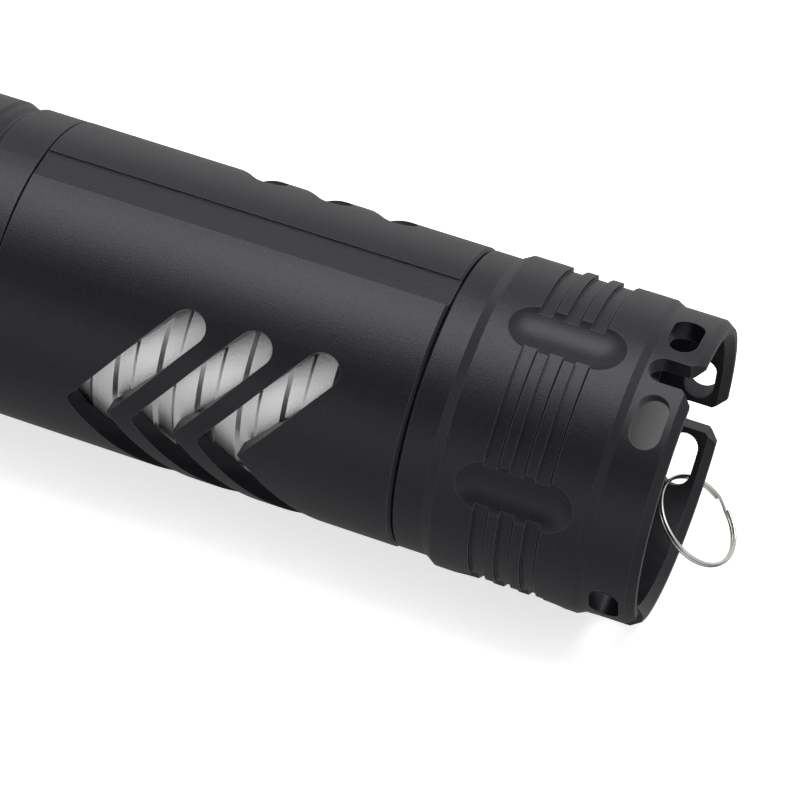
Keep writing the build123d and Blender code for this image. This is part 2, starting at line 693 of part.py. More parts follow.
with BuildPart() as led_board:
    with BuildSketch(across(led_board_front)):
        Circle(LED_BOARD_R)
        with PolarLocations(WIRE_HOLE_PLACE, 2):
            Circle(LEAD_R + LEAD_HOLE_GAP, mode=Mode.SUBTRACT)
        with PolarLocations(WIRE_HOLE_PLACE, 2, start_angle=90):
            Circle(SCREW_R + SCREW_GAP, mode=Mode.SUBTRACT)
    extrude(amount=LED_BOARD_THICK)
finish(led_board.part, "led_board")

with BuildPart() as led_ring:
    with BuildSketch(across(led_board_front - LED_RING_THICK)):
        Circle(CENTRING_RING_R)
        window = LED_SIDE + 2 * LED_RING_GAP
        RectangleRounded(window, window, EMITTER_CORNER_R, mode=Mode.SUBTRACT)
    extrude(amount=LED_RING_THICK - STACK_GAP)
finish(led_ring.part, "led_centring_ring")

with BuildPart() as led_emitter:
    with BuildSketch(across(led_board_front - LED_BASE)):
        RectangleRounded(LED_SIDE, LED_SIDE, EMITTER_CORNER_R)
    extrude(amount=LED_BASE - STACK_GAP / 2)
    with BuildSketch(Plane.XZ):
        with BuildLine():
            dome_x = led_board_front - LED_BASE
            CenterArc((dome_x, 0), DOME_R, 90, 90)
            Polyline((dome_x - DOME_R, 0), (dome_x, 0), (dome_x, DOME_R))
        make_face()
    revolve(axis=Axis.X)
finish(led_emitter.part, "led_emitter")

with BuildPart() as board_screws:
    with BuildSketch(across(led_board_front - SCREW_HEAD)):
        with PolarLocations(WIRE_HOLE_PLACE, 2, start_angle=90):
            Circle(SCREW_HEAD_R)
    extrude(amount=SCREW_HEAD - STACK_GAP / 2)
    with BuildSketch(across(led_board_front - STACK_GAP / 2)):
        with PolarLocations(WIRE_HOLE_PLACE, 2, start_angle=90):
            Circle(SCREW_R)
    extrude(amount=SCREW_LENGTH)
    with BuildSketch(across(led_board_front - SCREW_HEAD)):
        with PolarLocations(WIRE_HOLE_PLACE, 2, start_angle=90):
            Rectangle(SCREW_CROSS_LENGTH, SCREW_CROSS_WIDTH)
            Rectangle(SCREW_CROSS_WIDTH, SCREW_CROSS_LENGTH)
    extrude(amount=SCREW_CROSS_DEPTH, mode=Mode.SUBTRACT)
finish(board_screws.part, "board_screws")

# ---- driver -------------------------------------------------------------
DRIVER_FRONT = 38.0
DRIVER_THICK = 1.6
DRIVER_RING_INNER_R = 11.0
DRIVER_RING_END = 41.6
PAD_R = 4.0

driver_rear = DRIVER_FRONT + DRIVER_THICK
write_ring("driver_board", 0, BOARD_R, DRIVER_FRONT, driver_rear)
write_ring(
    "driver_retaining_ring",
    DRIVER_RING_INNER_R,
    DRIVER_BAY_R - SEAT_GAP,
    driver_rear + STACK_GAP,
    DRIVER_RING_END,
)
with BuildPart() as contact_pad:
    with BuildSketch(across(driver_rear)):
        Circle(PAD_R)
    extrude(amount=CELL_TOP - BUTTON_HEIGHT - STACK_GAP - driver_rear)
    chamfer(contact_pad.faces().sort_by(Axis.X)[-1].edges(), SMALL_CHAMFER)
finish(contact_pad.part, "front_contact")

# place on the board, size and height of each packaged component
INDUCTOR = ((0, 0), (7.0, 7.0), 4.0)
CHIPS = (
    ((7.0, 3.0), (4.0, 3.2), 1.2),
    ((-6.6, 4.6), (3.2, 1.6), 1.4),
    ((-6.6, -4.6), (5.0, 4.0), 1.6),
    ((6.2, -4.4), (2.0, 3.2), 1.1),
)
with BuildPart() as driver_components:
    for place, size, height in (INDUCTOR, *CHIPS):
        with BuildSketch(across(DRIVER_FRONT)):
            with Locations(place):
                Rectangle(*size)
        extrude(amount=-height)
finish(driver_components.part, "driver_components")

with BuildPart() as led_leads:
    with BuildSketch(across(led_board_front - LEAD_STAND)):
        with PolarLocations(WIRE_HOLE_PLACE, 2):
            Circle(LEAD_R)
    extrude(amount=DRIVER_FRONT - led_board_front + LEAD_STAND)
finish(led_leads.part, "led_leads")

# ---- split ring, hung through one lanyard hole --------------------------
RING_CENTRE = (LENGTH + 0.69, 6.84, -15.54)
RING_NORMAL = (0.575, 0.11, 0.811)
RING_R = 5.73  # middle of the wire
WIRE = 0.42
WIRE_CORNER_R = 0.19
COIL_GAP = 0.02

ring_plane = Plane(origin=RING_CENTRE, z_dir=RING_NORMAL)
with BuildPart() as split_ring:
    section = Plane(origin=RING_CENTRE, x_dir=ring_plane.x_dir, z_dir=ring_plane.y_dir)
    with BuildSketch(section):
        with Locations((RING_R, 0)):
            RectangleRounded(WIRE, 2 * WIRE + COIL_GAP, WIRE_CORNER_R)
    revolve(axis=Axis(RING_CENTRE, RING_NORMAL))
finish(split_ring.part, "split_ring")
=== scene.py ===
"""A pocket tube light with chevron windows, laid on its side on a pale floor."""

import json
import math

import bpy
from mathutils import Matrix, Vector


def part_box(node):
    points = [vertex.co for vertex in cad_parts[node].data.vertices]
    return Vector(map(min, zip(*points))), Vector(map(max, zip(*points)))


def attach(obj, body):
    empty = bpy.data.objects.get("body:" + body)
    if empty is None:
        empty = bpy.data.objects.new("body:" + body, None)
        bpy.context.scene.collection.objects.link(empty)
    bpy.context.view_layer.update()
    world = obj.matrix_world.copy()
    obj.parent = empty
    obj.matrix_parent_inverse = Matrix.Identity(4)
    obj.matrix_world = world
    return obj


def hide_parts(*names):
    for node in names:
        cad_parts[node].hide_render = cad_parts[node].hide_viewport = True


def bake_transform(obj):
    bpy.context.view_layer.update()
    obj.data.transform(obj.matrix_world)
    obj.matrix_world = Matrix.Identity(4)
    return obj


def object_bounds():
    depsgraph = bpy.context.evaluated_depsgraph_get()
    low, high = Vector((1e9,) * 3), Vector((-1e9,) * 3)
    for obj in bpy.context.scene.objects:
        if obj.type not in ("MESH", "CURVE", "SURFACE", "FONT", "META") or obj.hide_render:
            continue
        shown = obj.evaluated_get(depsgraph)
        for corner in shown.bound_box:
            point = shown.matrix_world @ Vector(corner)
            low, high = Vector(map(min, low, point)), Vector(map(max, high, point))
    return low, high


bl_info = {
    "name": "Pocket tube light",
    "version": (1, 0, 0),
    "blender": (4, 5, 0),
    "location": "View3D > Sidebar > Tube light",
    "description": "Builds the visual model of a pocket tube light round its packed frame",
    "category": "Object",
}

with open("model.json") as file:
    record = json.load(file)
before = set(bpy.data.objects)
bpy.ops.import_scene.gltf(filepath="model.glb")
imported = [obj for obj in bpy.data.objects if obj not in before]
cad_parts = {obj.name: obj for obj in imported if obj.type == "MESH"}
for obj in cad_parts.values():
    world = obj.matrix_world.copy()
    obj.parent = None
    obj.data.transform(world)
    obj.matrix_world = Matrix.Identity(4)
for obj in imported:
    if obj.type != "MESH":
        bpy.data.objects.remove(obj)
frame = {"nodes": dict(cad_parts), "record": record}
CAD_LOW, CAD_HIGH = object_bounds()
NODES = frame["nodes"]
MOUNTS = {mount["name"]: mount for mount in frame["record"]["mounts"]}
MILLIMETRE = 0.001
MICRON = 0.000001


def node_box(name):
    """The lowest and highest corner of a node of the frame, as vectors."""
    low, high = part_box(name)
    return Vector(low), Vector(high)


# ---- shader maths -------------------------------------------------------


class Socket:
    """An output socket that Python's operators can work on."""

    def __init__(self, nodes, source):
        self.nodes = nodes
        self.source = source

    def _math(self, operation, *values):
        return self.nodes.node("ShaderNodeMath", {"operation": operation}, *values)

    def __add__(self, other):
        return self._math("ADD", self, other)

    __radd__ = __add__

    def __sub__(self, other):
        return self._math("SUBTRACT", self, other)

    def __rsub__(self, other):
        return self._math("SUBTRACT", other, self)

    def __mul__(self, other):
        return self._math("MULTIPLY", self, other)

    __rmul__ = __mul__

    def smooth(self, low, high):
        """0 below low, 1 above high, and a soft step between them."""
        settings = {"interpolation_type": "SMOOTHSTEP"}
        return self.nodes.node("ShaderNodeMapRange", settings, self, low, high)


class Nodes:
    """A node tree, and a method that adds any node to it."""

    def __init__(self, tree):
        self.tree = tree

    def plug(self, target, value):
        if isinstance(value, Socket):
            self.tree.links.new(value.source, target)
        elif value is not None:
            target.default_value = value

    def node(self, kind, settings=None, *values, out=0, **named):
        """Add a node, set it, fill its inputs by order or by name, and give one output."""
        made = self.tree.nodes.new(kind)
        for key, value in (settings or {}).items():
            setattr(made, key, value)
        shown = [socket for socket in made.inputs if socket.enabled]
        for target, value in zip(shown, values):
            self.plug(target, value)
        for key, value in named.items():
            target = next(s for s in shown if s.name == key.replace("_", " "))
            self.plug(target, value)
        return Socket(self, made.outputs[out])


class Finish(Nodes):
    """One material, with its Principled shader."""

    def __init__(self, name, **fixed):
        self.material = bpy.data.materials.new(name)
        self.material.use_nodes = True
        super().__init__(self.material.node_tree)
        self.shader = self.tree.nodes["Principled BSDF"]
        for socket_name, value in fixed.items():
            self.shader.inputs[socket_name.replace("_", " ")].default_value = value

    def place(self):
        """Object coordinates, in metres."""
        return self.node("ShaderNodeTexCoord", out="Object")

    def axis(self, letter):
        """One coordinate of the place, in metres."""
        return self.node("ShaderNodeSeparateXYZ", None, self.place(), out=letter)

    def stretch(self, scale):
        """Object coordinates stretched along the axes, so that a grain runs one way."""
        return self.node("ShaderNodeMapping", None, self.place(), Scale=scale)

    def noise(self, scale, detail=2.0, roughness=0.5, where=None):
        """Soft noise about 0.5, with so many waves to the metre."""
        values = {"Scale": scale, "Detail": detail, "Roughness": roughness}
        where = where or self.place()
        return self.node("ShaderNodeTexNoise", None, Vector=where, **values)

    def cells(self, scale, where=None):
        """The distance to the nearest of many scattered points."""
        where = where or self.place()
        return self.node("ShaderNodeTexVoronoi", None, Vector=where, Scale=scale)

    def mix(self, factor, first, second):
        """A colour between two colours."""
        settings = {"data_type": "RGBA"}
        return self.node(
            "ShaderNodeMix", settings, Factor=factor, A=first, B=second, out="Result"
        )

    def edge(self, reach):
        """1 near a sharp outside or inside edge, 0 on open faces."""
        rounded_over = self.node("ShaderNodeBevel", {"samples": 6}, Radius=reach)
        flat = self.node("ShaderNodeNewGeometry", out="Normal")
        agreement = self.node(
            "ShaderNodeVectorMath", {"operation": "DOT_PRODUCT"}, rounded_over, flat, out="Value"
        )
        return agreement.smooth(0.995, 0.90)

    def bump(self, height, depth, edge=0.0):
        """A bump of this height map, its depth in metres, over edges rounded by a small radius."""
        under = None
        if edge:
            under = self.node("ShaderNodeBevel", {"samples": 6}, Radius=edge)
        return self.node(
            "ShaderNodeBump", None, Strength=1.0, Distance=depth, Height=height, Normal=under
        )

    def set(self, **values):
        """Feed the shader's sockets."""
        for key, value in values.items():
            self.plug(self.shader.inputs[key.replace("_", " ")], value)
        return self.material


# ---- finishes -----------------------------------------------------------


def colour(red, green, blue):
    """An opaque colour."""
    return (red, green, blue, 1.0)


def black_anodise(name, grain=1.0):
    """Bead-blasted aluminium under hard black anodise: satin, with fine painted glints and painted
    edge highlights lightening its base colour.
    """
    looks = bpy.context.scene.tube_light_finish
    finish = Finish(name, Metallic=0.0, IOR=1.43, Specular_Tint=colour(0.96, 0.93, 1.0))
    blast = finish.noise(4800.0, detail=3.0, roughness=0.7)
    cloud = finish.noise(60.0, detail=3.0)
    # painted glints: tiny scattered spots where the base colour is lightened stand in for glints
    # of light
    painted_glint_mask = finish.cells(3200.0).smooth(0.20, 0.04) * finish.noise(900.0).smooth(0.46, 0.60)
    dust = finish.cells(230.0).smooth(0.035, 0.015) * finish.noise(70.0).smooth(0.56, 0.64)
    base = finish.mix(cloud, looks.anodise_cool[:], looks.anodise_warm[:])
    painted_glint_colour = finish.mix(painted_glint_mask * 0.12 * grain, base, colour(0.30, 0.27, 0.35))
    dusty = finish.mix(dust * 0.35, painted_glint_colour, colour(0.42, 0.41, 0.40))
    # painted edge highlights: the base colour is lightened along sharp edges to stand in for lit
    # edges
    painted_edge_highlight_colour = finish.mix(finish.edge(0.12 * MILLIMETRE) * 0.30, dusty, colour(0.20, 0.195, 0.21))
    rough = looks.anodise_roughness + 0.25 * (blast - 0.5) + 0.06 * (cloud - 0.5) - 0.10 * painted_glint_mask
    height = blast * grain + 0.3 * dust
    return finish.set(
        Base_Color=painted_edge_highlight_colour,
        Roughness=rough,
        Normal=finish.bump(height, 24 * MICRON, edge=0.10 * MILLIMETRE),
    )


def bare_aluminium():
    """The bright battery tube: clear aluminium with a coarse blasted grain and turning lines."""
    finish = Finish("bare_aluminium", Metallic=1.0)
    blast = finish.noise(4200.0, detail=3.0, roughness=0.7)
    lines = finish.noise(1.0, detail=2.0, where=finish.stretch((9000.0, 30.0, 30.0)))
    base = finish.mix(blast, colour(0.80, 0.80, 0.82), colour(1.0, 1.0, 1.0))
    rough = 0.40 + 0.16 * (blast - 0.5) + 0.08 * (lines - 0.5)
    height = blast + 0.5 * lines
    return finish.set(
        Base_Color=base,
        Roughness=rough,
        Normal=finish.bump(height, 40 * MICRON, edge=0.06 * MILLIMETRE),
    )


def plated_wire():
    """Bright nickel on spring wire, with faint drawing lines."""
    finish = Finish("nickel_wire", Metallic=1.0)
    tarnish = finish.noise(420.0, detail=3.0)
    base = finish.mix(tarnish, colour(0.50, 0.47, 0.43), colour(0.86, 0.84, 0.81))
    rough = 0.14 + 0.16 * tarnish
    return finish.set(
        Base_Color=base,
        Roughness=rough,
        Normal=finish.bump(finish.noise(5000.0), 2 * MICRON),
    )


def metal(name, dark, bright, roughness, scale=900.0):
    """A plain worked metal with turning marks and a mottled shine."""
    finish = Finish(name, Metallic=1.0)
    patch = finish.noise(scale, detail=3.0)
    lines = finish.noise(1.0, where=finish.stretch((6000.0, 200.0, 200.0)))
    base = finish.mix(patch, dark, bright)
    rough = roughness + 0.12 * (patch - 0.5) + 0.08 * (lines - 0.5)
    height = lines + 0.4 * patch
    return finish.set(
        Base_Color=base,
        Roughness=rough,
        Normal=finish.bump(height, 4 * MICRON, edge=0.05 * MILLIMETRE),
    )


def moulded(name, dark, light, roughness, coat=0.0, texture=3200.0):
    """A moulded plastic or rubber skin with a fine spark-eroded texture."""
    finish = Finish(name, Metallic=0.0, Coat_Weight=coat)
    skin = finish.noise(texture, detail=3.0, roughness=0.6)
    cloud = finish.noise(150.0)
    base = finish.mix(cloud, dark, light)
    rough = roughness + 0.12 * (skin - 0.5) + 0.06 * (cloud - 0.5)
    return finish.set(
        Base_Color=base,
        Roughness=rough,
        Normal=finish.bump(skin, 8 * MICRON, edge=0.08 * MILLIMETRE),
    )


def solder_mask(name, mask, copper):
    """A circuit board: solder mask over faint tracks, with tinned pads showing."""
    finish = Finish(name, Coat_Weight=0.4)
    tracks = finish.cells(420.0).smooth(0.36, 0.40)
    weave = finish.noise(2600.0, detail=2.0)
    base = finish.mix(tracks * 0.35, mask, copper)
    rough = 0.35 + 0.12 * (weave - 0.5)
    height = tracks + 0.3 * weave
    return finish.set(
        Base_Color=base, Roughness=rough, Normal=finish.bump(height, 15 * MICRON)
    )


def mirror_finish():
    """The reflector: bright metal film over a fine orange-peel texture."""
    finish = Finish("reflector_mirror", Metallic=1.0)
    peel = finish.cells(1100.0)
    haze = finish.noise(300.0)
    base = finish.mix(haze, colour(0.86, 0.87, 0.88), colour(0.95, 0.95, 0.95))
    rough = 0.06 + 0.06 * haze
    return finish.set(
        Base_Color=base, Roughness=rough, Normal=finish.bump(peel, 25 * MICRON)
    )


def coated_glass():
    """The lens: clear glass with a faint violet coating and a trace of wiping marks."""
    finish = Finish("lens_glass", IOR=1.5, Transmission_Weight=1.0, Coat_Weight=0.6)
    finish.shader.inputs["Coat Tint"].default_value = colour(0.93, 0.90, 1.0)
    smear = finish.noise(90.0, detail=4.0)
    base = finish.mix(smear, colour(0.97, 0.98, 1.0), colour(0.99, 0.97, 1.0))
    return finish.set(Base_Color=base, Roughness=0.005 + 0.02 * smear)


def phosphor():
    """The emitter's die: yellow phosphor in silicone, with a fine powder grain."""
    finish = Finish("led_phosphor", Coat_Weight=0.5)
    powder = finish.noise(9000.0, detail=2.0)
    base = finish.mix(powder, colour(0.82, 0.60, 0.08), colour(0.95, 0.78, 0.22))
    return finish.set(Base_Color=base, Roughness=0.45 + 0.2 * (powder - 0.5))


def clear_silicone():
    """The emitter's dome."""
    finish = Finish("dome_silicone", IOR=1.41, Transmission_Weight=1.0)
    haze = finish.noise(2500.0)
    base = finish.mix(haze, colour(0.98, 0.97, 0.93), colour(1.0, 1.0, 0.98))
    return finish.set(Base_Color=base, Roughness=0.02 + 0.03 * haze)


def lead_colours():
    """Red and black silicone leads: the side of the barrel decides which."""
    finish = Finish("lead_insulation")
    side = finish.axis("Y").smooth(-0.1 * MILLIMETRE, 0.1 * MILLIMETRE)
    skin = finish.noise(3000.0)
    base = finish.mix(side, colour(0.02, 0.02, 0.02), colour(0.55, 0.03, 0.025))
    return finish.set(
        Base_Color=base,
        Roughness=0.55 + 0.15 * (skin - 0.5),
        Normal=finish.bump(skin, 6 * MICRON),
    )


def shrink_film():
    """The cell's plain blue film, tight and a little wrinkled."""
    finish = Finish("cell_wrap_film", Coat_Weight=0.5)
    wrinkle = finish.noise(1.0, detail=3.0, where=finish.stretch((120.0, 700.0, 700.0)))
    base = finish.mix(wrinkle, colour(0.02, 0.10, 0.38), colour(0.04, 0.17, 0.52))
    rough = 0.30 + 0.15 * (wrinkle - 0.5)
    return finish.set(
        Base_Color=base, Roughness=rough, Normal=finish.bump(wrinkle, 40 * MICRON)
    )


def coat(material, *names):
    """Give nodes of the frame their finish."""
    for name in names:
        NODES[name].data.materials.clear()
        NODES[name].data.materials.append(material)


# ---- modelling ----------------------------------------------------------


def deselect():
    """Leave edit mode with nothing selected."""
    if bpy.context.object and bpy.context.object.mode != "OBJECT":
        bpy.ops.object.mode_set(mode="OBJECT")
    bpy.ops.object.select_all(action="DESELECT")


def name_piece(name):
    """Name the active object and its mesh."""
    piece = bpy.context.object
    piece.name = name
    piece.data.name = name
    return piece


def settle(piece, material, body, smooth=40.0):
    """Apply the place, recalculate normals, and give a piece its finish and body."""
    deselect()
    bpy.context.view_layer.objects.active = piece
    piece.select_set(True)
    bpy.ops.object.transform_apply(location=True, rotation=True, scale=True)
    bpy.ops.object.mode_set(mode="EDIT")
    bpy.ops.mesh.select_all(action="SELECT")
    bpy.ops.mesh.remove_doubles(threshold=MICRON)
    bpy.ops.mesh.normals_make_consistent(inside=False)
    bpy.ops.object.mode_set(mode="OBJECT")
    bpy.ops.object.shade_smooth_by_angle(angle=math.radians(smooth))
    piece.data.materials.clear()
    piece.data.materials.append(material)
    if body:
        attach(piece, body)
    return piece


def apply_modifier(piece, kind, **settings):
    """Add a modifier, set it and apply it."""
    modifier = piece.modifiers.new(kind.title(), kind)
    for key, value in settings.items():
        setattr(modifier, key, value)
    bpy.context.view_layer.objects.active = piece
    bpy.ops.object.modifier_apply(modifier=modifier.name)


def turned(name, stations, vertices=96):
    """A piece turned about the barrel: a ring extruded from station to station, its ends closed.

    A station is (x, radius), and the outline runs once round the solid part from the axis,
    or from an edge, back to where it started.
    """
    deselect()
    (first_x, first_r), *rest = stations
    bpy.ops.mesh.primitive_circle_add(
        vertices=vertices,
        radius=first_r,
        location=(first_x, 0, 0),
        rotation=(0, math.pi / 2, 0),
    )
    piece = name_piece(name)
    bpy.ops.object.mode_set(mode="EDIT")
    bpy.ops.mesh.select_all(action="SELECT")
    if stations[0] != stations[-1]:
        bpy.ops.mesh.edge_face_add()
        bpy.ops.mesh.select_all(action="SELECT")
        bpy.ops.mesh.extrude_region_move()
        rest_x, rest_r = rest[0]
        bpy.ops.transform.translate(value=(rest_x - first_x, 0, 0))
        scale = rest_r / first_r
        bpy.ops.transform.resize(value=(1, scale, scale), center_override=(rest_x, 0, 0))
        first_x, first_r = rest_x, rest_r
        rest = rest[1:]
    for x, radius in rest:
        bpy.ops.mesh.extrude_region_move()
        bpy.ops.transform.translate(value=(x - first_x, 0, 0))
        scale = radius / first_r
        bpy.ops.transform.resize(value=(1, scale, scale), center_override=(x, 0, 0))
        first_x, first_r = x, radius
    bpy.ops.object.mode_set(mode="OBJECT")
    return piece


def rounded(start, end, count):
    """Stations of a rounded corner between two (x, radius) points, the corner at end's radius."""
    found = []
    for step in range(count + 1):
        angle = step / count * math.pi / 2
        x = start[0] + (end[0] - start[0]) * math.sin(angle)
        radius = end[1] + (start[1] - end[1]) * math.cos(angle)
        found.append((x, radius))
    return found


# ---- settings -----------------------------------------------------------


class TubeLightFinish(bpy.types.PropertyGroup):
    """Colours and shine of the black parts."""

    anodise_cool: bpy.props.FloatVectorProperty(
        name="Anodise, cool",
        description="The bluer of the two blacks in the anodise",
        subtype="COLOR",
        size=4,
        min=0,
        max=1,
        default=(0.0036, 0.0031, 0.0052, 1.0),
    )
    anodise_warm: bpy.props.FloatVectorProperty(
        name="Anodise, warm",
        description="The browner of the two blacks in the anodise",
        subtype="COLOR",
        size=4,
        min=0,
        max=1,
        default=(0.0056, 0.0046, 0.0060, 1.0),
    )
    anodise_roughness: bpy.props.FloatProperty(
        name="Anodise roughness",
        description="How dull the anodise is, about which the grain varies",
        default=0.38,
        min=0,
        max=1,
    )


class TubeLightSizes(bpy.types.PropertyGroup):
    """Sizes of the pieces that are modelled round the frame."""

    wire: bpy.props.FloatProperty(
        name="Split ring wire",
        description="Thickness of the split ring's wire",
        subtype="DISTANCE",
        default=0.42 * MILLIMETRE,
    )
    ring_radius: bpy.props.FloatProperty(
        name="Split ring radius",
        description="From the ring's centre to the middle of its wire",
        subtype="DISTANCE",
        default=5.73 * MILLIMETRE,
    )
    ring_start: bpy.props.FloatProperty(
        name="Split ring end",
        description="Where on the ring the wire's end lies",
        subtype="ANGLE",
        default=math.radians(75.0),
    )


class TubeLightView(bpy.types.PropertyGroup):
    """Where the camera stands."""

    azimuth: bpy.props.FloatProperty(
        name="Azimuth",
        description="Angle of the camera round the light, from its -Y side towards +X",
        subtype="ANGLE",
        default=math.radians(19.15),
    )
    elevation: bpy.props.FloatProperty(
        name="Elevation",
        description="Angle of the camera above the floor",
        subtype="ANGLE",
        default=math.radians(49.09),
    )
    roll: bpy.props.FloatProperty(
        name="Roll",
        description="Turn of the camera about its line of sight",
        subtype="ANGLE",
        default=math.radians(3.30),
    )
    distance: bpy.props.FloatProperty(
        name="Distance",
        description="From the camera to the point that it looks at",
        subtype="DISTANCE",
        default=379.6 * MILLIMETRE,
    )
    aim: bpy.props.FloatVectorProperty(
        name="Aim",
        description="The point looked at, from the middle of the tail cap's rear face",
        subtype="XYZ",
        default=(-34.26 * MILLIMETRE, -1.46 * MILLIMETRE, -1.20 * MILLIMETRE),
    )
    focal_length: bpy.props.FloatProperty(
        name="Focal length",
        description="Focal length of the lens, in millimetres, on a 36 mm sensor",
        default=148.4,
    )


# ---- operators ----------------------------------------------------------


class TUBELIGHT_OT_black_parts(bpy.types.Operator):
    """Anodise the head, the bezel, the sleeve and the tail cap"""

    bl_idname = "tubelight.black_parts"
    bl_label = "Black parts"

    def execute(self, context):
        coat(black_anodise("anodise_body"), "outer_sleeve", "head_housing", "tail_cap")
        coat(black_anodise("anodise_bezel", grain=0.6), "bezel")
        return {"FINISHED"}


class TUBELIGHT_OT_tube(bpy.types.Operator):
    """Finish the battery tube and its seals"""

    bl_idname = "tubelight.tube"
    bl_label = "Battery tube"

    def execute(self, context):
        coat(bare_aluminium(), "battery_tube")
        nitrile = moulded(
            "seal_rubber", colour(0.012, 0.012, 0.012), colour(0.03, 0.03, 0.03), 0.55
        )
        coat(nitrile, "front_o_ring", "rear_o_ring", "lens_gasket")
        return {"FINISHED"}


class TUBELIGHT_OT_cell(bpy.types.Operator):
    """Finish the rechargeable cell"""

    bl_idname = "tubelight.cell"
    bl_label = "Cell"

    def execute(self, context):
        plated = metal(
            "plated_steel", colour(0.56, 0.56, 0.57), colour(0.72, 0.72, 0.72), 0.26
        )
        coat(plated, "cell_can", "cell_button", "board_screws")
        coat(shrink_film(), "cell_wrap")
        white = moulded(
            "white_plastic", colour(0.72, 0.71, 0.68), colour(0.82, 0.81, 0.79), 0.45
        )
        coat(white, "cell_insulator", "boot_washer", "led_centring_ring", "switch_plunger")
        return {"FINISHED"}


class TUBELIGHT_OT_electronics(bpy.types.Operator):
    """Finish the boards, the contacts, the leads and the switch"""

    bl_idname = "tubelight.electronics"
    bl_label = "Electronics"

    def execute(self, context):
        brass = metal("brass", colour(0.55, 0.38, 0.14), colour(0.80, 0.60, 0.28), 0.28)
        coat(brass, "driver_retaining_ring", "switch_retaining_ring", "front_contact")
        gold = metal("gold_spring", colour(0.72, 0.50, 0.20), colour(0.90, 0.68, 0.32), 0.2)
        coat(gold, "tail_spring")
        green = solder_mask(
            "board_green", colour(0.006, 0.06, 0.02), colour(0.05, 0.16, 0.04)
        )
        coat(green, "driver_board", "switch_board")
        white = solder_mask(
            "led_board_white", colour(0.75, 0.75, 0.73), colour(0.60, 0.58, 0.54)
        )
        coat(white, "led_board")
        case = moulded(
            "component_cases", colour(0.01, 0.01, 0.01), colour(0.03, 0.03, 0.03), 0.4
        )
        coat(case, "driver_components", "switch_body")
        coat(lead_colours(), "led_leads")
        return {"FINISHED"}


class TUBELIGHT_OT_optics(bpy.types.Operator):
    """Finish the lens and the reflector, and model the emitter"""

    bl_idname = "tubelight.optics"
    bl_label = "Optics"

    def execute(self, context):
        coat(coated_glass(), "lens")
        coat(mirror_finish(), "reflector")
        low, high = node_box("led_emitter")
        side = high.y - low.y
        board = high.x
        base_height = 0.5 * MILLIMETRE
        die_height = 0.2 * MILLIMETRE
        dome_r = board - low.x - base_height - die_height
        white = moulded(
            "emitter_ceramic", colour(0.78, 0.77, 0.72), colour(0.86, 0.85, 0.80), 0.5
        )
        base = self.block("emitter_base", board - base_height / 2, base_height, side)
        settle(base, white, "root")
        die_x = board - base_height - die_height / 2
        die = self.block("emitter_die", die_x, die_height, side * 0.56)
        settle(die, phosphor(), "root")
        dome_x = board - base_height - die_height
        arc = rounded((dome_x - 0.01 * MILLIMETRE, dome_r), (low.x, 0.05 * MILLIMETRE), 12)
        dome = turned("emitter_dome", arc, vertices=64)
        settle(dome, clear_silicone(), "root", smooth=60.0)
        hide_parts("led_emitter")
        return {"FINISHED"}

    def block(self, name, x, thick, side):
        """A small square block with bevelled edges, flat against the board."""
        deselect()
        bpy.ops.mesh.primitive_cube_add(size=1, location=(x, 0, 0), scale=(thick, side, side))
        piece = name_piece(name)
        bpy.ops.object.transform_apply(location=False, rotation=False, scale=True)
        apply_modifier(piece, "BEVEL", width=thick * 0.2, segments=2)
        return piece


class TUBELIGHT_OT_boot(bpy.types.Operator):
    """Model the rubber boot over the tail switch"""

    bl_idname = "tubelight.boot"
    bl_label = "Switch boot"

    def execute(self, context):
        low, high = node_box("switch_boot")
        pin_hole = 0.2 * MILLIMETRE
        flange_r = high.y
        top = high.x
        lip = low.x + 1.05 * MILLIMETRE
        dome_r = 9.6 * MILLIMETRE
        wall = 1.1 * MILLIMETRE
        edge = 0.25 * MILLIMETRE
        dish = 0.5 * MILLIMETRE
        bore = dome_r - wall
        stations = [
            (top - wall - dish, pin_hole),
            (top - wall - dish, 5.0 * MILLIMETRE),
            (top - 2.6 * wall, bore - 0.8 * MILLIMETRE),
            (top - 3.6 * wall, bore),
            (low.x, bore),
            (low.x, flange_r - edge),
            (low.x + edge, flange_r),
            (lip - edge, flange_r),
            (lip, flange_r - edge),
            (lip, dome_r + edge),
            (lip + edge, dome_r),
        ]
        shoulder = 3.8 * MILLIMETRE
        rim_r = dome_r - 5.6 * MILLIMETRE
        stations += rounded((top - shoulder, dome_r), (top, rim_r), 10)
        stations.append((top, pin_hole))
        boot = turned("boot_skin", stations, vertices=128)
        rubber = moulded(
            "boot_rubber", colour(0.060, 0.060, 0.062), colour(0.080, 0.080, 0.083), 0.5
        )
        settle(boot, rubber, None)
        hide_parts("switch_boot")
        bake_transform(boot)
        return {"FINISHED"}


